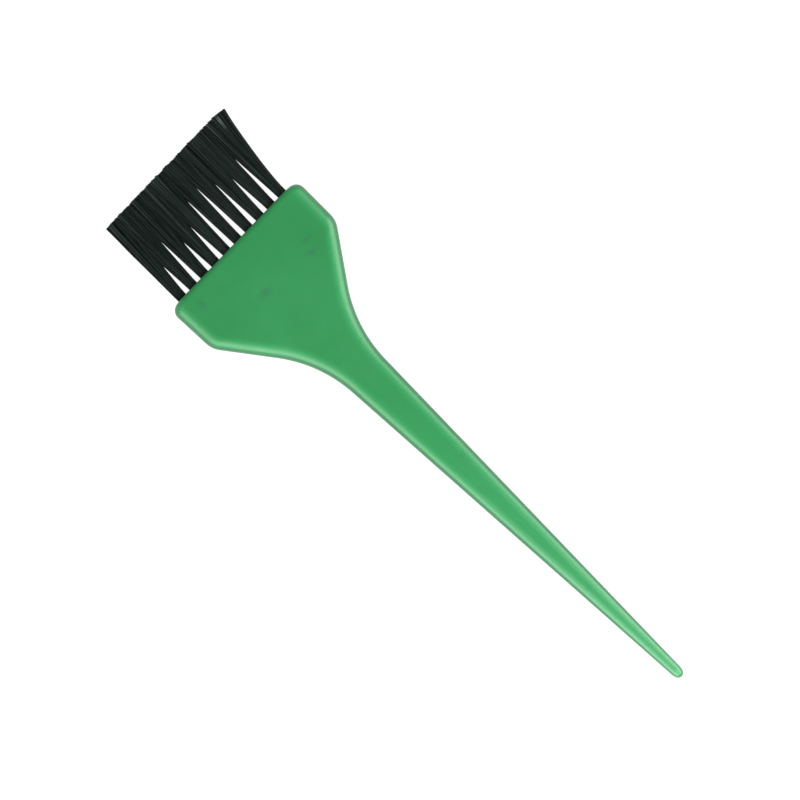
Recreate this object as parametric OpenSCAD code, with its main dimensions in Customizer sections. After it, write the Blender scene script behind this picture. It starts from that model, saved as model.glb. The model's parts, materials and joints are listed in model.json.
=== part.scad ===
// Tint brush for hair colour: a wide flat paddle with a long pointed tail, and one
// straight row of nylon tufts. Each tuft is folded round a flat wire anchor and
// driven into its own blind hole in the paddle's edge.
//
// Millimetres, lying on its back. +X runs from the bristle tips to the end of the
// tail, +Y across the paddle, +Z up. The origin is the middle of the base.

/* [Handle outline] */
// Length over everything, bristle tips to the end of the tail
overall_length = 218; // [195:0.5:240]
// Free length of the bristles, out of the paddle
bristle_length = 31.2; // [24:0.1:36]
// Width of the paddle at the bristle edge
head_width = 54.3; // [53:0.1:58]
// Radius of the two corners at the bristle edge, seen from above
head_corner_r = 3.1; // [1:0.1:5]
// How much each side draws in between the bristle edge and its shoulder
side_taper = 0.3; // [0.05:0.05:1]
// How far the shoulders are from the bristle edge
shoulder_at = 16.9; // [14:0.1:24]
// Angle that the shoulders make with the long axis
shoulder_angle = 36; // [30:0.1:42]
// Radius of the outline at the shoulders
shoulder_r = 7.5; // [4:0.1:16]
// Radius of the hollow curve at the neck
neck_r = 43; // [30:0.5:60]
// Width of the tail where it leaves the neck
tail_root_width = 15.1; // [12:0.1:17]
// Width of the tail just before its round end
tail_end_width = 3.55; // [2.4:0.05:5]
// Length of the round end of the tail
tail_end_length = 3.4; // [1.5:0.1:5]
// How blunt that end is: 2 is an ellipse, more is squarer
tail_end_bluntness = 2.4; // [2:0.1:4]

/* [Handle section] */
// Thickness of the paddle at the bristle edge
head_thickness = 7; // [6:0.1:9]
// Thickness of the tail at its end
tail_thickness = 3.4; // [2.4:0.1:5]
// Width of the rounded bevel along both long edges
bevel_width = 4.5; // [2:0.1:5]
// How full the bevel is: 1 is an ellipse, less fades gently into the face
bevel_fullness = 0.8; // [0.7:0.05:1.8]
// Length of the rounding along the two long sides of the bristle edge
edge_length = 2; // [0.5:0.1:3]
// How much each face drops over that rounding
edge_drop = 0.9; // [0.2:0.1:1.2]

/* [Bristle holes] */
// Number of holes, each with its tuft and its anchor
tuft_count = 10; // [10:1:10]
// Diameter of a hole
hole_d = 3.3; // [2.8:0.1:3.8]
// Depth of a hole
hole_depth = 9.5; // [7:0.5:14]
// Distance between neighbouring holes
hole_pitch = 4.8; // [4.4:0.05:5]
// How far the row of holes is from the middle of the paddle
row_offset = -0.35; // [-1:0.05:1]

/* [Tufts] */
// Distance between neighbouring tufts at their tips
tip_pitch = 5.05; // [4.9:0.01:5.3]
// How far the row of tips is from the middle of the paddle
tip_offset = 1.8; // [-2.4:0.1:2.4]
// Thickness of the row of tips
tip_thickness = 4.4; // [3:0.1:6]
// Share of the free length after which a tuft touches its neighbours
merge_at = 0.58; // [0.3:0.01:0.9]
// Space left between neighbouring tufts
tuft_gap = 0.08; // [0.02:0.01:0.3]
// Space left between a tuft and the wall of its hole
tuft_clearance = 0.03; // [0.01:0.01:0.1]

/* [Anchors] */
// Thickness of the anchor wire
anchor_thickness = 0.4; // [0.2:0.05:0.6]
// Width of the anchor wire, along the hole
anchor_height = 1.6; // [1:0.1:2.4]
// How far each end of an anchor bites into the wall of its hole
anchor_bite = 0.2; // [0.1:0.05:0.3]
// Thickness of the fold of a tuft under its anchor
fold_thickness = 0.9; // [0.5:0.1:1.5]

/* [Hidden] */

plastic_green = [0.23, 0.60, 0.36];
bristle_black = [0.11, 0.15, 0.14];
anchor_metal = [0.78, 0.70, 0.48];
bore_facets = 48;

tip_x = -overall_length / 2;
mouth_x = tip_x + bristle_length;
handle_length = overall_length - bristle_length;

// The holes run level, midway between the paddle's middle heights at their two ends
hole_z = (thickness_at(0) / 2 + thickness_at(hole_depth) / 2) / 2;

// The straight stretches of the outline, as half widths above the long axis
head_half = head_width / 2;
shoulder_half = head_half - side_taper;
side_angle = -atan2(head_half - shoulder_half, shoulder_at - head_corner_r);
tail_end_r = tail_end_width / 2;
tail_end_at = handle_length - tail_end_length;
neck_at = shoulder_at + (shoulder_half - tail_root_width / 2) / tan(shoulder_angle);
tail_angle = -atan2(tail_root_width / 2 - tail_end_r, tail_end_at - neck_at);
shoulder = [shoulder_at, shoulder_half];
neck = [neck_at, tail_root_width / 2];

// Where a fillet of radius r between lines at angles a and b touches each of them
function fillet_reach(r, a, b) = r * tan(abs(b - a) / 2);
function along(p, angle, s) = [p.x + s * cos(angle), p.y + s * sin(angle)];
shoulder_reach = fillet_reach(shoulder_r, side_angle, -shoulder_angle);
shoulder_from = along(shoulder, side_angle, -shoulder_reach);
shoulder_to = along(shoulder, -shoulder_angle, shoulder_reach);
shoulder_centre = along(shoulder_from, side_angle - 90, shoulder_r);
neck_reach = fillet_reach(neck_r, -shoulder_angle, tail_angle);
neck_from = along(neck, -shoulder_angle, -neck_reach);
neck_to = along(neck, tail_angle, neck_reach);
neck_centre = along(neck_to, tail_angle + 90, neck_r);

// Half width of the handle at a distance d from the bristle edge
function circle_rise(r, x) = sqrt(max(0, r * r - x * x));
function end_share(d) =
    let (past = max(0, d - tail_end_at) / tail_end_length)
    pow(max(0, 1 - pow(past, tail_end_bluntness)), 1 / tail_end_bluntness);
function line_at(p, angle, d) = p.y + (d - p.x) * tan(angle);
function half_width_at(d) =
    d < head_corner_r
        ? head_half - head_corner_r + circle_rise(head_corner_r, head_corner_r - d)
    : d < shoulder_from.x ? line_at(shoulder, side_angle, d)
    : d < shoulder_to.x ? shoulder_centre.y + circle_rise(shoulder_r, d - shoulder_centre.x)
    : d < neck_from.x ? line_at(shoulder, -shoulder_angle, d)
    : d < neck_to.x ? neck_centre.y - circle_rise(neck_r, d - neck_centre.x)
    : d < tail_end_at ? line_at(neck, tail_angle, d)
    : tail_end_r * end_share(d);

// Thickness of the handle, a straight taper, and how far its two faces draw in
// over the rounding at the bristle edge and over the round end of the tail
function thickness_at(d) =
    head_thickness + (tail_thickness - head_thickness) * d / handle_length;
function draw_in_at(d) =
    d < edge_length ? edge_drop * (1 - circle_rise(1, (edge_length - d) / edge_length))
    : d > tail_end_at ? thickness_at(d) / 2 * (1 - end_share(d))
    : 0;

// The bevel keeps its width along the slanting shoulders, measured square to the
// outline, and meets itself on the narrow tail
function tanh(x) = (1 - exp(-2 * x)) / (1 + exp(-2 * x));
slope_reach = 0.5;
function slope_at(d) =
    d < head_corner_r + slope_reach || d > tail_end_at - slope_reach
        ? 0
        : (half_width_at(d + slope_reach) - half_width_at(d - slope_reach)) / 2 / slope_reach;
function bevel_at(d) =
    bevel_width * tanh(half_width_at(d) / bevel_width) * sqrt(1 + pow(slope_at(d), 2));

// One cross-section: two flat faces joined by a bevel with a round rim on each side
edge_steps = 7;
function section_at(d) =
    let (
        half = half_width_at(d),
        rise = thickness_at(d) / 2 - draw_in_at(d),
        bevel = min(half, bevel_at(d)),
        flat = half - bevel
    )
    [
        for (side = [1, -1])
            for (i = [0:2 * edge_steps])
                let (a = side * (90 - 90 * i / edge_steps))
                [
                    mouth_x + d,
                    side * (flat + bevel * pow(max(0, cos(a)), bevel_fullness)),
                    thickness_at(d) / 2 + rise * sin(a),
                ],
    ];

// Stations from the bristle edge to the end of the tail, close where it curves
corner_steps = 8;
paddle_steps = 26;
tail_steps = 18;
end_steps = 6;
end_flat = 4;
stations = concat(
    [for (i = [0:corner_steps - 1]) head_corner_r * (1 - cos(90 * i / corner_steps))],
    [for (i = [0:paddle_steps - 1])
        head_corner_r + (neck_to.x - head_corner_r) * i / paddle_steps],
    [for (i = [0:tail_steps - 1]) neck_to.x + (tail_end_at - neck_to.x) * i / tail_steps],
    [for (i = [0:end_steps])
        tail_end_at + tail_end_length * sin((90 - end_flat) * i / end_steps)]
);

// A closed solid through rings of the same number of points
module loft(rings) {
    n = len(rings[0]);
    last = len(rings) - 1;
    polyhedron(
        points = [for (ring = rings) for (p = ring) p],
        faces = concat(
            [[for (i = [0:n - 1]) i]],
            [for (r = [0:last - 1]) for (i = [0:n - 1])
                [r * n + i, r * n + (i + 1) % n, (r + 1) * n + (i + 1) % n]],
            [for (r = [0:last - 1]) for (i = [0:n - 1])
                [r * n + i, (r + 1) * n + (i + 1) % n, (r + 1) * n + i]],
            [[for (i = [0:n - 1]) last * n + n - 1 - i]]
        )
    );
}

// Middle of hole number i, counted from the +Y side
function hole_y(i) = row_offset + ((tuft_count + 1) / 2 - i) * hole_pitch;
function tip_y(i) = tip_offset + ((tuft_count + 1) / 2 - i) * tip_pitch;

drill_lead = 1;

module hole(i) {
    translate([mouth_x - drill_lead, hole_y(i), hole_z])
        rotate([0, 90, 0])
            cylinder(d = hole_d, h = hole_depth + drill_lead, $fn = bore_facets);
}

module handle() {
    color(plastic_green)
        difference() {
            loft([for (d = stations) section_at(d)]);
            for (i = [1:tuft_count])
                hole(i);
        }
}

// The anchor stands across the hole, along the row, just above the fold
anchor_from = mouth_x + hole_depth - fold_thickness - anchor_height;
anchor_length = hole_d + 2 * anchor_bite;

module anchor_block(i, play) {
    translate([
        anchor_from - play,
        hole_y(i) - anchor_length / 2,
        hole_z - anchor_thickness / 2 - play,
    ])
        cube([anchor_height + 2 * play, anchor_length, anchor_thickness + 2 * play]);
}

module anchor(i) {
    color(anchor_metal)
        anchor_block(i, 0);
}

// Cross-section of tuft i at a share u of its free length: round at the mouth of
// the hole, and a rounded rectangle once it touches its neighbours
tuft_points = 20;
tuft_steps = 10;
tuft_root_r = hole_d / 2 - tuft_clearance;
// The free length starts this share inside the hole, and this much thinner than it
root_overlap = 0.04;
root_step = 0.02;
// Exponent of the outline at the tip: 1 is an ellipse, less is squarer
tip_squareness = 0.45;
function blend(a, b, u) = a + (b - a) * u;
function ease(u) = u <= 0 ? 0 : u >= 1 ? 1 : u * u * (3 - 2 * u);
function rounded(c, power) = sign(c) * pow(abs(c), power);
function tuft_ring(i, u) =
    let (
        full_width = blend(hole_pitch, tip_pitch, u) - tuft_gap,
        half_y = blend(tuft_root_r - root_step, full_width / 2, ease(u / merge_at)),
        half_z = blend(tuft_root_r - root_step, tip_thickness / 2, ease(u)),
        squareness = blend(1, tip_squareness, ease(u))
    )
    [
        for (k = [0:tuft_points - 1])
            let (a = -360 * k / tuft_points)
            [
                mouth_x - bristle_length * u,
                blend(hole_y(i), tip_y(i), max(0, u)) + half_y * rounded(cos(a), squareness),
                hole_z + half_z * rounded(sin(a), squareness),
            ],
    ];

module tuft(i) {
    shares = [-root_overlap, for (s = [0:tuft_steps]) s / tuft_steps];
    color(bristle_black)
        difference() {
            union() {
                translate([mouth_x, hole_y(i), hole_z])
                    rotate([0, 90, 0])
                        cylinder(
                            r = tuft_root_r,
                            h = hole_depth - tuft_clearance,
                            $fn = bore_facets
                        );
                loft([for (u = shares) tuft_ring(i, u)]);
            }
            anchor_block(i, tuft_clearance);
        }
}

handle();
tuft(1);  // tuft_01
tuft(2);  // tuft_02
tuft(3);  // tuft_03
tuft(4);  // tuft_04
tuft(5);  // tuft_05
tuft(6);  // tuft_06
tuft(7);  // tuft_07
tuft(8);  // tuft_08
tuft(9);  // tuft_09
tuft(10);  // tuft_10
anchor(1);  // anchor_01
anchor(2);  // anchor_02
anchor(3);  // anchor_03
anchor(4);  // anchor_04
anchor(5);  // anchor_05
anchor(6);  // anchor_06
anchor(7);  // anchor_07
anchor(8);  // anchor_08
anchor(9);  // anchor_09
anchor(10);  // anchor_10
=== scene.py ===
"""Tint brush: the visual model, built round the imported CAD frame.

The handle is lofted again from its outline at a finer step, with its moulded
bevels, parting line and bristle holes. Each tuft is a bundle of single nylon
filaments, folded round its anchor wire in the hole and trimmed at the tips.
"""

import json
import math
import random
from collections import namedtuple

import bmesh
import bpy
import numpy as np
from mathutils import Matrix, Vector


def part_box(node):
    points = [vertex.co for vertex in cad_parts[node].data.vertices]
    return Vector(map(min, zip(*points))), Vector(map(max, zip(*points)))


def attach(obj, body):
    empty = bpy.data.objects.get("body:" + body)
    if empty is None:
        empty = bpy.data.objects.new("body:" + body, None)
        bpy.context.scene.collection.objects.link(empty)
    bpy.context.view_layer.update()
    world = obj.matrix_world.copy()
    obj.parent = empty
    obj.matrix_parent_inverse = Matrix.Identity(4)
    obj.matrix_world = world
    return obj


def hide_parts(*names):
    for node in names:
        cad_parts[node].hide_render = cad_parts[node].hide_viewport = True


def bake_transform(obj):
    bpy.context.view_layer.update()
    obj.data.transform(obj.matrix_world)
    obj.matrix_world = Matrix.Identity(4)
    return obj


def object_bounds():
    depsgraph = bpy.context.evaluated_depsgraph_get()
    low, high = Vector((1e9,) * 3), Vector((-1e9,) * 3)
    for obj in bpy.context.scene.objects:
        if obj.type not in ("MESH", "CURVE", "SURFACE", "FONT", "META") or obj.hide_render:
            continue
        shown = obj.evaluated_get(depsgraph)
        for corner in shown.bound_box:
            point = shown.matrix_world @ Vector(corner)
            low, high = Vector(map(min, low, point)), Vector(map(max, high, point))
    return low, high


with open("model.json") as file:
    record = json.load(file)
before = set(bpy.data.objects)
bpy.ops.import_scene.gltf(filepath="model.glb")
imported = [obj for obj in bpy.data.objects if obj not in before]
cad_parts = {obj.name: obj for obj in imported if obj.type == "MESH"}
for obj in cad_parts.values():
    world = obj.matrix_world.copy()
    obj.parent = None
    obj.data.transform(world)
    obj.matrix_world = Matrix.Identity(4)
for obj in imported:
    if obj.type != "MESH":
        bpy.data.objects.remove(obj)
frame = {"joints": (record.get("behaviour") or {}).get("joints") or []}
cad_low, cad_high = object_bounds()

MM = 0.001

# ---------------------------------------------------------------- sizes, in metres
handle_low, handle_high = (Vector(c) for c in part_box("handle"))
MOUTH_X = handle_low.x
HANDLE_LENGTH = handle_high.x - handle_low.x
HEAD_HALF = handle_high.y
HEAD_THICKNESS = 7 * MM
TAIL_THICKNESS = 3.4 * MM
TIP_X = cad_low[0]

HEAD_CORNER_R = 3.1 * MM
SHOULDER_AT = 16.9 * MM
SHOULDER_ANGLE = math.radians(36)
SHOULDER_R = 7.5 * MM
SHOULDER_HALF = HEAD_HALF - 0.3 * MM
NECK_R = 43 * MM
TAIL_ROOT_HALF = 15.1 / 2 * MM
TAIL_END_R = 3.55 / 2 * MM
TAIL_END_LENGTH = 3.4 * MM
TAIL_END_BLUNTNESS = 2.4
BEVEL_WIDTH = 4.5 * MM
BEVEL_FULLNESS = 0.8
EDGE_LENGTH = 2 * MM
EDGE_DROP = 0.9 * MM

# Faint old dye stains on the face: middle x and y, half length, half width
STAINS = (
    (-63.0 * MM, 16.5 * MM, 1.0 * MM, 3.0 * MM),
    (-59.3 * MM, 15.0 * MM, 1.6 * MM, 3.2 * MM),
    (-60.8 * MM, -3.5 * MM, 2.0 * MM, 3.4 * MM),
    (-72.0 * MM, -19.0 * MM, 2.4 * MM, 1.4 * MM),
)

TUFT_COUNT = 10
HOLE_R = 3.3 / 2 * MM
HOLE_DEPTH = 9.5 * MM
HOLE_MOUTH_SOFTNESS = 0.18 * MM
HOLE_Z = frame["joints"][0]["pos_m"][2]
hole_ys = [
    (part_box(f"anchor_{i:02d}")[0][1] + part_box(f"anchor_{i:02d}")[1][1]) / 2
    for i in range(1, TUFT_COUNT + 1)
]
HOLE_PITCH = (hole_ys[0] - hole_ys[-1]) / (TUFT_COUNT - 1)


# ---------------------------------------------------------------- small helpers
def blend(a, b, u):
    return a + (b - a) * u


def add_object(name, mesh):
    obj = bpy.data.objects.new(name, mesh)
    bpy.context.scene.collection.objects.link(obj)
    return obj


def loft_faces(rings, per_ring):
    """Quads between closed rings, and one face on each end."""
    faces = []
    for r in range(rings - 1):
        for i in range(per_ring):
            j = (i + 1) % per_ring
            a, b = r * per_ring, (r + 1) * per_ring
            faces.append((a + i, b + i, b + j, a + j))
    faces.append(tuple(range(per_ring)))
    faces.append(tuple((rings - 1) * per_ring + i for i in reversed(range(per_ring))))
    return faces


def fix_normals(mesh, sharp_above=None):
    """Outward faces, smooth shading, and sharp edges above an angle in degrees."""
    bm = bmesh.new()
    bm.from_mesh(mesh)
    bmesh.ops.recalc_face_normals(bm, faces=bm.faces)
    for face in bm.faces:
        face.smooth = True
    if sharp_above is not None:
        limit = math.radians(sharp_above)
        for edge in bm.edges:
            edge.smooth = edge.is_manifold and edge.calc_face_angle() < limit
    bm.to_mesh(mesh)
    bm.free()
    return mesh


# ---------------------------------------------------------------- node materials
class Shader:
    """A material's node tree, with short calls for the nodes used here."""

    def __init__(self, name):
        self.material = bpy.data.materials.new(name)
        self.material.use_nodes = True
        self.tree = self.material.node_tree
        self.surface = self.tree.nodes["Principled BSDF"]
        self.place = self.node("ShaderNodeTexCoord").outputs["Object"]

    def node(self, kind, **settings):
        made = self.tree.nodes.new(kind)
        for key, value in settings.items():
            setattr(made, key, value)
        return made

    def feed(self, value, socket):
        if isinstance(value, bpy.types.NodeSocket):
            self.tree.links.new(value, socket)
        else:
            socket.default_value = value

    def scaled(self, scale):
        """The piece's own coordinates, stretched by scale along each axis."""
        mapping = self.node("ShaderNodeMapping")
        self.feed(self.place, mapping.inputs["Vector"])
        mapping.inputs["Scale"].default_value = scale
        return mapping.outputs["Vector"]

    def noise(self, scale, detail=3.0, rough=0.55, stretch=(1, 1, 1)):
        made = self.node("ShaderNodeTexNoise")
        self.feed(self.scaled(stretch), made.inputs["Vector"])
        made.inputs["Scale"].default_value = scale
        made.inputs["Detail"].default_value = detail
        made.inputs["Roughness"].default_value = rough
        return made.outputs["Fac"]

    def attribute(self, name):
        return self.node("ShaderNodeAttribute", attribute_name=name).outputs["Fac"]

    def math(self, operation, a, b):
        made = self.node("ShaderNodeMath", operation=operation)
        self.feed(a, made.inputs[0])
        self.feed(b, made.inputs[1])
        return made.outputs[0]

    def times(self, a, b):
        return self.math("MULTIPLY", a, b)

    def remap(self, value, low, high, to_low=0.0, to_high=1.0):
        made = self.node("ShaderNodeMapRange")
        self.feed(value, made.inputs["Value"])
        made.inputs["From Min"].default_value = low
        made.inputs["From Max"].default_value = high
        made.inputs["To Min"].default_value = to_low
        made.inputs["To Max"].default_value = to_high
        return made.outputs["Result"]

    def spot(self, x, y, length, width):
        """A blurred, ragged spot at (x, y), 1 at its middle and 0 at its edge.

        length and width are half sizes.
        """
        mapping = self.node("ShaderNodeMapping")
        self.feed(self.place, mapping.inputs["Vector"])
        mapping.inputs["Scale"].default_value = (1 / length, 1 / width, 0.0)
        mapping.inputs["Location"].default_value = (-x / length, -y / width, 0.0)
        away = self.node("ShaderNodeVectorMath", operation="LENGTH")
        self.feed(mapping.outputs["Vector"], away.inputs[0])
        uneven = self.remap(self.noise(700), 0, 1, -0.5, 0.5)
        return self.remap(self.math("ADD", away.outputs["Value"], uneven), 1.0, 0.0)

    def mix(self, factor, a, b):
        made = self.node("ShaderNodeMix", data_type="RGBA")
        self.feed(factor, made.inputs["Factor"])
        self.feed(a, made.inputs["A"])
        self.feed(b, made.inputs["B"])
        return made.outputs["Result"]

    def bump(self, height, distance, strength, below=None):
        made = self.node("ShaderNodeBump")
        self.feed(height, made.inputs["Height"])
        made.inputs["Distance"].default_value = distance
        made.inputs["Strength"].default_value = strength
        if below is not None:
            self.feed(below, made.inputs["Normal"])
        return made.outputs["Normal"]


def rgba(red, green, blue):
    return (red, green, blue, 1.0)


def pigment_and_painted_light(s, along, bevel):
    """Cloudy green pigment, with painted light: paler along the handle as it thins and lets
    more light through.
    """
    deep, clear = rgba(0.0160, 0.217, 0.057), rgba(0.0220, 0.246, 0.0725)
    base = s.mix(s.remap(s.noise(45, detail=2.0), 0.3, 0.7), deep, clear)
    # Painted light: paler towards the tail as the plastic thins, and palest at the thin end
    # of the tail
    base = s.mix(along, base, rgba(0.0338, 0.308, 0.0965))
    thin_end_light = s.times(s.math("POWER", along, 7.5), s.remap(bevel, 0.0, 0.3, 0.7, 1.0))
    base = s.mix(thin_end_light, base, rgba(0.106, 0.407, 0.176))
    smudge = s.remap(s.noise(120, detail=4.0, rough=0.6), 0.58, 0.76)
    return s.mix(s.times(smudge, 0.20), base, rgba(0.026, 0.175, 0.072))


def dye_stains(s, base, face):
    """Faint old stains, on the upper face only."""
    for x, y, length, width in STAINS:
        stain = s.times(s.spot(x, y, length, width), face)
        base = s.mix(s.times(stain, 0.6), base, rgba(0.030, 0.150, 0.068))
    return base


def painted_bevel_light(s, base, along, bevel):
    """Painted highlights: a brighter band along the bevel and pale flanks on the tail;
    painted shade: a dark band at the parting line.
    """
    # Painted highlight along the middle of the bevel
    painted_bevel_highlight = s.times(s.remap(bevel, 0.0, 0.35), s.remap(bevel, 0.80, 0.55))
    base = s.mix(s.times(painted_bevel_highlight, 0.38), base, rgba(0.040, 0.400, 0.130))
    # Painted highlight: the narrow end of the tail is round enough to scatter light from
    # both flanks
    painted_flank_highlight = s.times(s.remap(along, 0.5, 0.82), s.remap(bevel, 0.0, 0.16))
    painted_flank_highlight = s.times(painted_flank_highlight, s.remap(bevel, 0.85, 0.30, 0.0, 0.30))
    base = s.mix(painted_flank_highlight, base, rgba(0.175, 0.460, 0.245))
    # Painted shade along the parting line, wider for its size where the bevel is narrow
    painted_rim_shade = s.remap(s.math("ADD", bevel, s.times(along, 0.14)), 0.69, 0.90)
    return s.mix(s.times(painted_rim_shade, 0.62), base, rgba(0.006, 0.090, 0.030))


def green_plastic():
    """Glossy injection-moulded plastic: cloudy pigment, flow waves and faint wear, with
    painted light and shade along the handle and on its bevels.
    """
    s = Shader("green_plastic")
    split = s.node("ShaderNodeSeparateXYZ")
    s.feed(s.place, split.inputs[0])
    along = s.remap(split.outputs["X"], MOUTH_X, handle_high.x)
    face = s.remap(split.outputs["Z"], 0.5 * HEAD_THICKNESS, 0.8 * HEAD_THICKNESS)
    bevel = s.attribute("bevel")
    scuffs = s.remap(s.noise(900, detail=6.0, stretch=(0.4, 1, 1)), 0.56, 0.75)
    base = pigment_and_painted_light(s, along, bevel)
    base = dye_stains(s, base, face)
    base = painted_bevel_light(s, base, along, bevel)
    paled = s.times(s.times(bevel, scuffs), 0.25)
    base = s.mix(paled, base, rgba(0.090, 0.440, 0.180))
    s.feed(base, s.surface.inputs["Base Color"])
    rough = s.remap(s.noise(260, detail=5.0), 0.3, 0.7, 0.32, 0.40)
    rough = s.math("ADD", rough, s.times(scuffs, 0.10))
    s.feed(rough, s.surface.inputs["Roughness"])
    s.surface.inputs["IOR"].default_value = 1.55
    waves = s.bump(s.noise(60, detail=1.5, stretch=(0.5, 1, 1)), 0.0012, 0.06)
    grain = s.bump(s.noise(2600, detail=2.0), 0.00004, 0.30, below=waves)
    s.feed(grain, s.surface.inputs["Normal"])
    return s.material


def black_nylon():
    """Black drawn filament: satin, with tone changing from filament to filament, and painted
    shade and light along each one.
    """
    s = Shader("black_nylon")
    tone = s.attribute("tone")
    dark, light = rgba(0.0027, 0.0076, 0.0062), rgba(0.0175, 0.0300, 0.0260)
    base = s.mix(tone, dark, light)
    # Tones above 1 mix towards pale grey: painted light at the lightest tips, and a pale
    # streak near the tips of the first tuft
    base = s.mix(s.remap(tone, 1.0, PALE_TONE), base, rgba(0.160, 0.210, 0.200))
    streak = s.noise(2200, detail=3.0, stretch=(0.08, 1, 1))
    base = s.mix(s.remap(streak, 0.55, 0.8, 0.0, 0.35), base, rgba(0.018, 0.028, 0.025))
    s.feed(base, s.surface.inputs["Base Color"])
    rough = s.remap(streak, 0.3, 0.7, 0.36, 0.52)
    s.feed(rough, s.surface.inputs["Roughness"])
    s.surface.inputs["IOR"].default_value = 1.53
    s.surface.inputs["Specular IOR Level"].default_value = 0.19
    grain = s.bump(s.noise(9000, detail=2.0, stretch=(0.1, 1, 1)), 0.00001, 0.4)
    s.feed(grain, s.surface.inputs["Normal"])
    return s.material


def anchor_brass():
    """Drawn flat brass wire: lengthwise die lines and a little tarnish."""
    s = Shader("anchor_brass")
    tarnish = s.noise(1400, detail=5.0)
    bright, dull = rgba(0.72, 0.52, 0.22), rgba(0.34, 0.23, 0.10)
    base = s.mix(s.remap(tarnish, 0.45, 0.7), bright, dull)
    s.feed(base, s.surface.inputs["Base Color"])
    s.surface.inputs["Metallic"].default_value = 1.0
    s.feed(s.remap(tarnish, 0.3, 0.7, 0.25, 0.5), s.surface.inputs["Roughness"])
    lines = s.bump(s.noise(9000, detail=2.0, stretch=(1, 0.03, 1)), 0.00002, 0.5)
    s.feed(lines, s.surface.inputs["Normal"])
    return s.material


def light_table():
    """The pale top of a light table, which glows a little so that shadows stay faint."""
    s = Shader("light_table")
    fibre = s.noise(120, detail=4.0)
    pale = s.mix(fibre, rgba(0.19, 0.19, 0.19), rgba(0.21, 0.21, 0.21))
    s.feed(pale, s.surface.inputs["Base Color"])
    s.surface.inputs["Roughness"].default_value = 0.9
    s.surface.inputs["Specular IOR Level"].default_value = 0.1
    s.surface.inputs["Emission Color"].default_value = rgba(1.0, 1.0, 1.0)
    s.surface.inputs["Emission Strength"].default_value = 0.95
    return s.material


# ---------------------------------------------------------------- the handle
CORNER_STEPS = 16
PADDLE_STEPS = 90
TAIL_STEPS = 70
END_STEPS = 16
END_STOP = math.radians(86)  # the last section stops just short of the tail's point
FLAT_STEPS = 8
FLASH_HEIGHT = 0.05 * MM
FLASH_HALF = 0.09 * MM
FLASH_FULL_AT = 2 * MM  # half width of the handle from which the flash is at full height
SLOPE_REACH = 0.5 * MM
HOLE_SIDES = 48


class Fillet:
    """The arc of radius r that rounds a corner of the outline, between two slopes."""

    def __init__(self, corner, before, after, r):
        reach = r * math.tan(abs(after - before) / 2)
        self.low = corner[0] - reach * math.cos(before)
        self.high = corner[0] + reach * math.cos(after)
        self.side = 1 if after < before else -1
        start_y = corner[1] - reach * math.sin(before)
        self.x = self.low + self.side * r * math.sin(before)
        self.y = start_y - self.side * r * math.cos(before)
        self.r = r

    def at(self, d):
        return self.y + self.side * math.sqrt(max(0.0, self.r**2 - (d - self.x) ** 2))


SIDE_SLOPE = -math.atan2(HEAD_HALF - SHOULDER_HALF, SHOULDER_AT - HEAD_CORNER_R)
TAIL_END_AT = HANDLE_LENGTH - TAIL_END_LENGTH
NECK_AT = SHOULDER_AT + (SHOULDER_HALF - TAIL_ROOT_HALF) / math.tan(SHOULDER_ANGLE)
TAIL_SLOPE = -math.atan2(TAIL_ROOT_HALF - TAIL_END_R, TAIL_END_AT - NECK_AT)
shoulder = Fillet((SHOULDER_AT, SHOULDER_HALF), SIDE_SLOPE, -SHOULDER_ANGLE, SHOULDER_R)
neck = Fillet((NECK_AT, TAIL_ROOT_HALF), -SHOULDER_ANGLE, TAIL_SLOPE, NECK_R)


def circle_rise(r, x):
    return math.sqrt(max(0.0, r * r - x * x))


def end_share(d):
    """How full the section still is at d, over the round end of the tail."""
    past = min(1.0, max(0.0, d - TAIL_END_AT) / TAIL_END_LENGTH)
    return (1 - past**TAIL_END_BLUNTNESS) ** (1 / TAIL_END_BLUNTNESS)


def half_width_at(d):
    """Half width of the handle at a distance d from the bristle edge."""
    if d < HEAD_CORNER_R:
        return HEAD_HALF - HEAD_CORNER_R + circle_rise(HEAD_CORNER_R, HEAD_CORNER_R - d)
    if d < shoulder.low:
        return SHOULDER_HALF + (d - SHOULDER_AT) * math.tan(SIDE_SLOPE)
    if d < shoulder.high:
        return shoulder.at(d)
    if d < neck.low:
        return SHOULDER_HALF - (d - SHOULDER_AT) * math.tan(SHOULDER_ANGLE)
    if d < neck.high:
        return neck.at(d)
    if d < TAIL_END_AT:
        return TAIL_ROOT_HALF + (d - NECK_AT) * math.tan(TAIL_SLOPE)
    return TAIL_END_R * end_share(d)


def thickness_at(d):
    return blend(HEAD_THICKNESS, TAIL_THICKNESS, d / HANDLE_LENGTH)


def draw_in_at(d):
    """How far each face draws in at the rounded bristle edge and the round tail end."""
    if d < EDGE_LENGTH:
        return EDGE_DROP * (1 - circle_rise(1, (EDGE_LENGTH - d) / EDGE_LENGTH))
    if d > TAIL_END_AT:
        return thickness_at(d) / 2 * (1 - end_share(d))
    return 0.0


def handle_stations():
    """Distances of the cross-sections from the bristle edge, closer at both round ends."""
    corner = [
        HEAD_CORNER_R * (1 - math.cos(math.pi / 2 * i / CORNER_STEPS))
        for i in range(CORNER_STEPS)
    ]
    paddle = [blend(HEAD_CORNER_R, neck.high, i / PADDLE_STEPS) for i in range(PADDLE_STEPS)]
    tail = [blend(neck.high, TAIL_END_AT, i / TAIL_STEPS) for i in range(TAIL_STEPS)]
    end = [
        TAIL_END_AT + TAIL_END_LENGTH * math.sin(END_STOP * i / END_STEPS)
        for i in range(END_STEPS + 1)
    ]
    return corner + paddle + tail + end


def edge_angles():
    """Angles down one rounded side, close together at the parting line."""
    coarse = [90 - 5 * i for i in range(18)]
    fine = [4, 3, 2.2, 1.4, 0.7, 0]
    half = [a for a in coarse if a > 5] + fine
    return half + [-a for a in reversed(half[:-1])]


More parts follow.
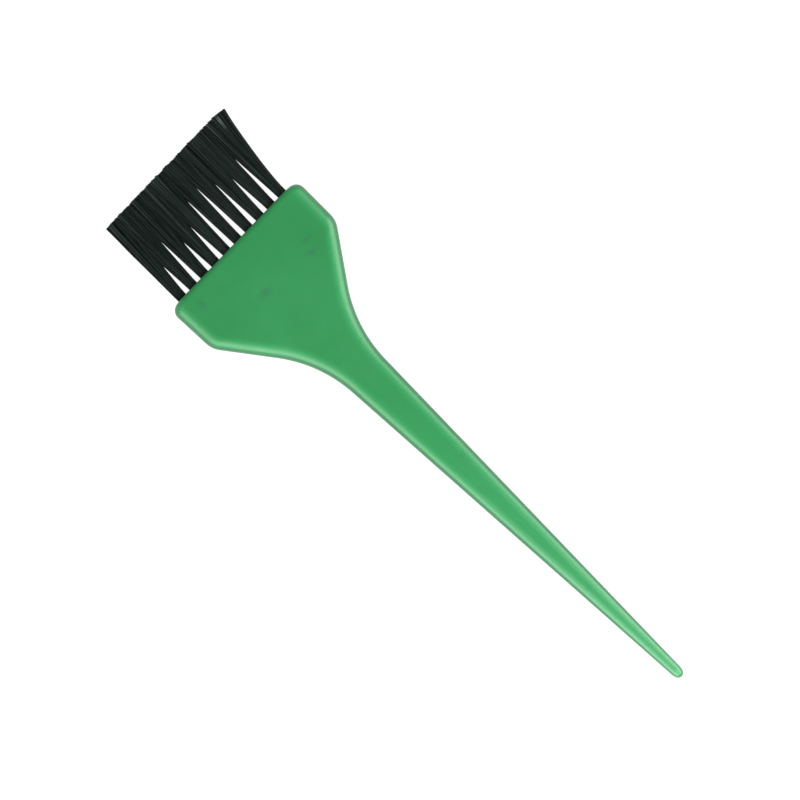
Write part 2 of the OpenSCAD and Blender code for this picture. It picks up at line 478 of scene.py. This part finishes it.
def bevel_at(d):
    """Width of the bevel across the section, so that it keeps its width on a slant."""
    slope = 0.0
    if HEAD_CORNER_R + SLOPE_REACH < d < TAIL_END_AT - SLOPE_REACH:
        slope = half_width_at(d + SLOPE_REACH) - half_width_at(d - SLOPE_REACH)
        slope /= 2 * SLOPE_REACH
    half = half_width_at(d)
    return min(half, BEVEL_WIDTH * math.tanh(half / BEVEL_WIDTH) * math.hypot(1, slope))


def handle_ring(d):
    """(points, bevel share) of one cross-section, round from the middle of the face."""
    half = half_width_at(d)
    middle = thickness_at(d) / 2
    rise = middle - draw_in_at(d)
    bevel = bevel_at(d)
    flat = half - bevel
    full = end_share(d)
    level = math.sqrt(1 - full * full)
    right = [(flat * i / FLAT_STEPS, middle + rise, level) for i in range(FLAT_STEPS)]
    for angle in edge_angles():
        a = math.radians(angle)
        z = rise * math.sin(a)
        flash = FLASH_HEIGHT * math.exp(-((z / FLASH_HALF) ** 2))
        flash *= min(1.0, half / FLASH_FULL_AT)
        reach = bevel * math.cos(a) ** BEVEL_FULLNESS
        share = math.sqrt(1 - (full * math.sin(a)) ** 2)
        right.append((flat + reach + flash, middle + z, share))
    right += [(y, middle - rise, level) for y, *_ in reversed(right[:FLAT_STEPS])]
    left = [(-y, z, share) for y, z, share in reversed(right[1:-1])]
    ring = right + left
    return [(MOUTH_X + d, y, z) for y, z, _ in ring], [share for *_, share in ring]


def hole_cutter(y):
    """A drill shape with a softened mouth, as (distance in from the edge, radius)."""
    soft = HOLE_MOUTH_SOFTNESS
    profile = [
        (-1 * MM, HOLE_R + soft),
        (0.0, HOLE_R + soft),
        (soft * 0.3, HOLE_R + soft * 0.35),
        (soft, HOLE_R),
        (HOLE_DEPTH, HOLE_R),
    ]
    points = []
    for reach, r in profile:
        for k in range(HOLE_SIDES):
            a = 2 * math.pi * k / HOLE_SIDES
            points.append((MOUTH_X + reach, y + r * math.cos(a), HOLE_Z + r * math.sin(a)))
    return points, loft_faces(len(profile), HOLE_SIDES)


def cutters():
    """One mesh of all ten drill shapes."""
    points, faces = [], []
    for y in hole_ys:
        some, around = hole_cutter(y)
        faces += [tuple(len(points) + i for i in f) for f in around]
        points += some
    mesh = bpy.data.meshes.new("hole_cutters")
    mesh.from_pydata(points, [], faces)
    return fix_normals(mesh)


def make_handle():
    rings = [handle_ring(d) for d in handle_stations()]
    points = [p for ring, _ in rings for p in ring]
    mesh = bpy.data.meshes.new("handle_shell")
    mesh.from_pydata(points, [], loft_faces(len(rings), len(rings[0][0])))
    share = mesh.attributes.new("bevel", "FLOAT", "POINT")
    share.data.foreach_set("value", [s for _, ring in rings for s in ring])
    fix_normals(mesh)
    shell = add_object("handle_body", mesh)
    cutter = add_object("hole_cutters", cutters())
    cut = shell.modifiers.new("holes", "BOOLEAN")
    cut.operation = "DIFFERENCE"
    cut.solver = "EXACT"
    cut.object = cutter
    graph = bpy.context.evaluated_depsgraph_get()
    drilled = bpy.data.meshes.new_from_object(shell.evaluated_get(graph))
    shell.modifiers.clear()
    shell.data = fix_normals(drilled, sharp_above=38)
    bpy.data.objects.remove(cutter)
    shell.data.materials.clear()
    shell.data.materials.append(green_plastic())
    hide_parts("handle")
    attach(shell, "handle")


# ---------------------------------------------------------------- the tufts
SEED = 6160
FILAMENT_R = 0.11 * MM
FILAMENT_SIDES = 6
FREE_STEPS = 15
FOLD_STEPS = 6

# In the hole: close-packed rows of filaments, folded round the anchor
PACKING = 0.235 * MM
ROW_PITCH = 0.866 * PACKING
PACKING_JITTER = 0.02 * MM
HOLE_CLEARANCE = 0.03 * MM
ANCHOR_HALF = 0.2 * MM  # half the anchor's thickness
ANCHOR_CLEARANCE = 0.02 * MM
FOLD_DEPTHS = (0.2 * MM, 0.62 * MM)  # past the anchor, for the innermost and outermost
FOLD_PINCH = 0.97  # the folds draw in a little across the row
STRAIGHT_TO = 0.6  # share of the way from the mouth to the anchor
anchor_low, anchor_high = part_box("anchor_01")
ANCHOR_NEAR, ANCHOR_FAR = anchor_low[0], anchor_high[0]

# From the mouth to the tips. Each gap closes at its own share of the free length
GAP_OPEN = (0.58, 0.49, 0.56, 0.75, 0.72, 0.45, 0.385, 0.57, 0.385)
SPREAD_POWER = 1.2
POWER_SCATTER = 0.09
LATE_START = 0.02
LEANS = (0.3 * MM, 1.5 * MM)  # of the first and the last tuft, both towards +Y
OUTER_UP = 6.1 * MM  # spread of the first tuft's outer side
OUTER_DOWN = 2.5 * MM  # spread of the last tuft's outer side
OUTER_TRIM = 0.6 * MM  # how much shorter the first tuft is at its outer corner
OUTER_BOW = 0.32  # added to the spread's power there, so that the corner flicks out
WAVE_HEIGHTS = (0.01 * MM, 0.09 * MM)
WAVE_TURNS = (0.7, 1.8)
WAVE_UPWARD = 0.6

# At the tips: small clumps, unevenly trimmed
CLUMP_PITCH = 0.85 * MM
CLUMP_PARTING = 0.24 * MM  # how far the tips of a clump draw together
CLUMP_WANDER = 0.10 * MM
CLUMP_LEVEL = 0.7  # farthest level of a clump, from 0 in the middle to 1 at the top
CLUMP_HOLD = 0.35  # how far a tip is drawn to its clump's level
CLUMP_SHORT = 0.26 * MM
TIP_HALF_Z = 2.05 * MM
TIP_ROUNDNESS = 0.82
TIP_CROWN = 0.12 * MM
TIP_STRAY = 0.04 * MM
LEVEL_STRAY = 0.15
TIP_LONG = 0.04 * MM
TIP_SHORT = 0.10 * MM

# Shades of the filaments, up to TONE_LIMIT, with painted shade beside the next tuft and
# painted light towards the tips; above 1 they go towards a pale tone
CLUMP_TONE_SHARE = 0.62
OWN_TONE_POWER = 1.5
# Painted shade: filaments near the sides of a tuft are darker, in place of the shade between
# tufts
SHADED_SIDE_SHARE = 0.09
PAINTED_SIDE_SHADE = 0.15
# Painted light: filaments grow lighter towards their tips
PAINTED_TIP_LIGHT = 0.65
TONE_LIMIT = 1.25
PALE_TONE = 3.0
PALE_STREAK_AT = 2.9 * MM  # across the first tuft, from its middle
PALE_STREAK_HALF = 0.38 * MM
PALE_STREAK_RAMP = (0.15, 1.0, 0.5, 0.1)  # from the tip inward


def late_share(u):
    """Share of the spread's run at a share u of the free length: it starts a little late."""
    return max(0.0, (u - LATE_START) / (1 - LATE_START))


def packed_half_disc(rng):
    """Close-packed places (y, z) over the half of a hole above its anchor."""
    reach = HOLE_R - FILAMENT_R - HOLE_CLEARANCE
    places = []
    rows = int(reach / ROW_PITCH) + 1
    columns = int(reach / PACKING) + 1
    for row in range(rows):
        z = PACKING / 2 + row * ROW_PITCH
        for column in range(-columns, columns + 1):
            y = (column + 0.5 * (row % 2)) * PACKING
            if math.hypot(y, z) <= reach:
                y += rng.uniform(-PACKING_JITTER, PACKING_JITTER)
                places.append((y, z + rng.uniform(-PACKING_JITTER, PACKING_JITTER)))
    widest = max(abs(y) for y, _ in places)
    return [(y * reach / widest, z) for y, z in places], reach


Clump = namedtuple("Clump", "middle level short tone")


def spread_to_close(open_share):
    """How far a tuft has spread at its tip if its gap closes at this share of its length."""
    half_gap = (HOLE_PITCH - 2 * HOLE_R) / 2
    return HOLE_R + half_gap / late_share(open_share) ** SPREAD_POWER


class Tuft:
    """Where the filaments of one tuft go between the mouth of its hole and its tip."""

    def __init__(self, number):
        self.rng = random.Random(SEED + number)
        self.number = number
        self.y = hole_ys[number - 1]
        share = (number - 1) / (TUFT_COUNT - 1)
        self.lean = blend(*LEANS, share * share)
        self.up = OUTER_UP if number == 1 else spread_to_close(GAP_OPEN[number - 2])
        self.down = OUTER_DOWN
        if number < TUFT_COUNT:
            self.down = spread_to_close(GAP_OPEN[number - 1])
        count = round((self.up + self.down) / CLUMP_PITCH)
        self.pitch = (self.up + self.down) / count
        self.clumps = [
            Clump(
                middle=(i + 0.5) * self.pitch - self.down + self.stray(CLUMP_WANDER),
                level=self.stray(CLUMP_LEVEL),
                short=self.rng.uniform(0.0, CLUMP_SHORT),
                tone=self.rng.random(),
            )
            for i in range(-1, count + 1)
        ]

    def stray(self, most):
        """A random draw, up to most either way."""
        return self.rng.uniform(-most, most)

    def clump_at(self, offset):
        return min(self.clumps, key=lambda clump: abs(clump.middle - offset))

    def leg(self, place, reach, share):
        """Points of one free leg, from the mouth to the tip.

        share runs from 0 to 1 across the tuft, in even steps, so the tips of one
        layer lie side by side. The two layers gather into clumps half a clump apart,
        so each covers the partings of the other.
        """
        rng = self.rng
        shift = 0.0 if place[1] > 0 else self.pitch / 2
        offset = blend(-self.down, self.up, share)
        clump = self.clump_at(offset - shift)
        pull = CLUMP_PARTING / self.pitch
        offset = blend(offset, clump.middle + shift, pull) + self.stray(TIP_STRAY)
        offset = min(self.up, max(-self.down, offset))
        aside = offset / (self.up if offset > 0 else self.down)
        level = blend(place[1] / reach, clump.level, CLUMP_HOLD) + self.stray(LEVEL_STRAY)
        y_tip = self.y + self.lean + offset
        z_tip = HOLE_Z + TIP_HALF_Z * math.sqrt(1 - (TIP_ROUNDNESS * aside) ** 2) * level
        x_tip = TIP_X + clump.short + TIP_CROWN * aside * aside
        x_tip += rng.uniform(-TIP_LONG, TIP_SHORT)
        power = SPREAD_POWER + self.stray(POWER_SCATTER)
        if self.number == 1:
            x_tip += OUTER_TRIM * max(0.0, aside) ** 2
            power += OUTER_BOW * max(0.0, aside) ** 2
        wave = rng.uniform(*WAVE_HEIGHTS)
        turns = rng.uniform(*WAVE_TURNS)
        phase = rng.uniform(0, 2 * math.pi)
        points = []
        for i in range(FREE_STEPS + 1):
            u = i / FREE_STEPS
            out = late_share(u) ** power
            swing = wave * math.sin(2 * math.pi * turns * u + phase) * u
            points.append(
                (
                    blend(MOUTH_X, x_tip, u),
                    blend(self.y + place[0], y_tip, out) + swing,
                    blend(HOLE_Z + place[1], z_tip, out) + WAVE_UPWARD * swing,
                )
            )
        return points

    def filament(self, place, reach, share, step):
        """Points from one tip, down round the anchor and back to the other tip."""
        y, z = place
        beside = ANCHOR_HALF + FILAMENT_R + ANCHOR_CLEARANCE
        z_anchor = blend(beside, reach, z / reach)
        first = self.leg((y, z), reach, share)
        second = self.leg((y, -z), reach, min(1.0, share + step / 2))
        hole_y = self.y + y * FOLD_PINCH
        depth = blend(*FOLD_DEPTHS, z / reach)
        fold = []
        for i in range(FOLD_STEPS + 1):
            a = math.pi * i / FOLD_STEPS
            x = ANCHOR_FAR + depth * math.sin(a)
            fold.append((x, hole_y, HOLE_Z + z_anchor * math.cos(a)))
        inner = blend(MOUTH_X, ANCHOR_NEAR, STRAIGHT_TO)
        into = [(inner, hole_y, HOLE_Z + z_anchor)]
        out = [(inner, hole_y, HOLE_Z - z_anchor)]
        return list(reversed(first)) + into + fold + out + second

    def tones(self, share, steps):
        """Shade of a filament along its path: partly its clump's, partly its own.

        It is darkened by painted shade beside the next tuft, lightened by painted light
        towards the tip, and palest in a streak near the tips of the first tuft.
        """
        offset = blend(-self.down, self.up, share)
        clump = self.clump_at(offset)
        tone = blend(self.rng.random() ** OWN_TONE_POWER, clump.tone, CLUMP_TONE_SHARE)
        # Painted shade: darker beside the next tuft
        tone *= blend(PAINTED_SIDE_SHADE, 1.0, min(1.0, min(share, 1 - share) / SHADED_SIDE_SHARE))
        paled = self.number == 1 and abs(offset - PALE_STREAK_AT) < PALE_STREAK_HALF
        made = []
        for i in range(steps):
            inward = min(i, steps - 1 - i)
            out = max(0.0, 1 - inward / FREE_STEPS)
            # Painted light: lighter towards the tip
            shade = min(TONE_LIMIT, tone * (1 + PAINTED_TIP_LIGHT * out**3))
            pale = PALE_STREAK_RAMP[inward] if paled and inward < len(PALE_STREAK_RAMP) else 0.0
            made.append(blend(shade, PALE_TONE, pale))
        return made


def tube(path, r, sides):
    """Vertices and faces of a closed tube along a path that turns only gently in Y."""
    path = np.array(path)
    ahead = np.gradient(path, axis=0)
    ahead /= np.linalg.norm(ahead, axis=1)[:, None]
    across = np.cross(ahead, (0.0, 1.0, 0.0))
    across /= np.linalg.norm(across, axis=1)[:, None]
    third = np.cross(across, ahead)
    angles = 2 * np.pi * (np.arange(sides) + 0.5) / sides
    ring = np.cos(angles)[None, :, None] * across[:, None, :]
    ring = ring + np.sin(angles)[None, :, None] * third[:, None, :]
    points = path[:, None, :] + r * ring
    return points.reshape(-1, 3), loft_faces(len(path), sides)


def make_tuft(number, material):
    tuft = Tuft(number)
    places, reach = packed_half_disc(tuft.rng)
    points, faces, tones = [], [], []
    places.sort()
    step = 1 / (len(places) - 1)
    for order, place in enumerate(places):
        share = order * step
        path = tuft.filament(place, reach, share, step)
        some, around = tube(path, FILAMENT_R, FILAMENT_SIDES)
        faces += [tuple(len(points) + i for i in f) for f in around]
        points += some.tolist()
        tones += np.repeat(tuft.tones(share, len(path)), FILAMENT_SIDES).tolist()
    name = f"bristles_{number:02d}"
    mesh = bpy.data.meshes.new(name)
    mesh.from_pydata(points, [], faces)
    tone = mesh.attributes.new("tone", "FLOAT", "POINT")
    tone.data.foreach_set("value", tones)
    fix_normals(mesh, sharp_above=60)
    mesh.materials.append(material)
    obj = add_object(name, mesh)
    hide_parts(f"tuft_{number:02d}")
    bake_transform(obj)


# ---------------------------------------------------------------- the anchors
ANCHOR_EDGE_R = 0.12 * MM
ANCHOR_EDGE_STEPS = 4


def make_anchor(number, material):
    """A short length of flat wire with rolled edges and sheared ends."""
    low, high = (Vector(c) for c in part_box(f"anchor_{number:02d}"))
    size = high - low
    name = f"anchor_wire_{number:02d}"
    mesh = bpy.data.meshes.new(name)
    bm = bmesh.new()
    bmesh.ops.create_cube(bm, size=1.0)
    for v in bm.verts:
        v.co = (low + high) / 2 + v.co * size
    long_edges = [e for e in bm.edges if abs(e.verts[0].co.y - e.verts[1].co.y) > MM]
    bmesh.ops.bevel(
        bm,
        geom=long_edges,
        offset=ANCHOR_EDGE_R,
        segments=ANCHOR_EDGE_STEPS,
        profile=0.5,
        affect="EDGES",
    )
    bm.to_mesh(mesh)
    bm.free()
    fix_normals(mesh, sharp_above=40)
    mesh.materials.append(material)
    obj = add_object(name, mesh)
    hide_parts(f"anchor_{number:02d}")
    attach(obj, "handle")


# ---------------------------------------------------------------- stage, light, camera
FLOOR_HALF = 20.0
CAMERA_LENS = 135.0  # millimetres, as is the sensor
CAMERA_SENSOR = 36.0
CAMERA_REACH = 60.0
CAMERA_FIELD = 0.240  # width of the view at CAMERA_LEVEL
CAMERA_LEVEL = 3.5 * MM
CAMERA_OVER = (-9.62 * MM, 1.2 * MM)
CAMERA_TURN = math.radians(43.85)


def make_floor():
    mesh = bpy.data.meshes.new("floor")
    corners = [(-1, -1), (1, -1), (1, 1), (-1, 1)]
    points = [(FLOOR_HALF * x, FLOOR_HALF * y, 0) for x, y in corners]
    mesh.from_pydata(points, [], [(0, 1, 2, 3)])
    mesh.materials.append(light_table())
    floor = add_object("floor", mesh)


def softbox(name, azimuth, from_zenith, distance, length, width, radiance):
    """A rectangular light aimed at the origin, long across its own direction."""
    data = bpy.data.lights.new(name, "AREA")
    data.shape = "RECTANGLE"
    data.size = length
    data.size_y = width
    data.energy = radiance * math.pi * length * width
    light = bpy.data.objects.new(name, data)
    tilt, turn = math.radians(from_zenith), math.radians(azimuth)
    light.location = (
        distance * math.sin(tilt) * math.cos(turn),
        distance * math.sin(tilt) * math.sin(turn),
        distance * math.cos(tilt),
    )
    light.rotation_euler = (-Vector(light.location)).to_track_quat("-Z", "Y").to_euler()
    bpy.context.scene.collection.objects.link(light)


def make_light():
    world = bpy.data.worlds.new("studio")
    world.use_nodes = True
    sky = world.node_tree.nodes["Background"]
    sky.inputs["Color"].default_value = rgba(1.0, 1.0, 1.0)
    sky.inputs["Strength"].default_value = 0.3
    bpy.context.scene.world = world
    softbox(
        "side_plus_y",
        azimuth=54,
        from_zenith=62,
        distance=1.0,
        length=1.35,
        width=0.8,
        radiance=4.15,
    )
    softbox(
        "side_minus_y",
        azimuth=-64,
        from_zenith=57,
        distance=1.0,
        length=1.4,
        width=0.75,
        radiance=4.35,
    )
    bpy.context.scene.view_settings.view_transform = "Standard"
    bpy.context.scene.view_settings.look = "None"


def make_camera():
    """Straight above, turned so that the brush lies across the frame's diagonal."""
    data = bpy.data.cameras.new("camera")
    data.lens = CAMERA_LENS
    data.sensor_width = CAMERA_SENSOR
    data.clip_end = CAMERA_REACH
    camera = bpy.data.objects.new("camera", data)
    height = CAMERA_FIELD * CAMERA_LENS / CAMERA_SENSOR
    camera.location = (*CAMERA_OVER, CAMERA_LEVEL + height)
    camera.rotation_euler = (0.0, 0.0, CAMERA_TURN)
    bpy.context.scene.collection.objects.link(camera)
    bpy.context.scene.camera = camera


make_camera()
make_light()
make_floor()
make_handle()
nylon = black_nylon()
brass = anchor_brass()
for number in range(1, TUFT_COUNT + 1):
    make_tuft(number, nylon)
    make_anchor(number, brass)
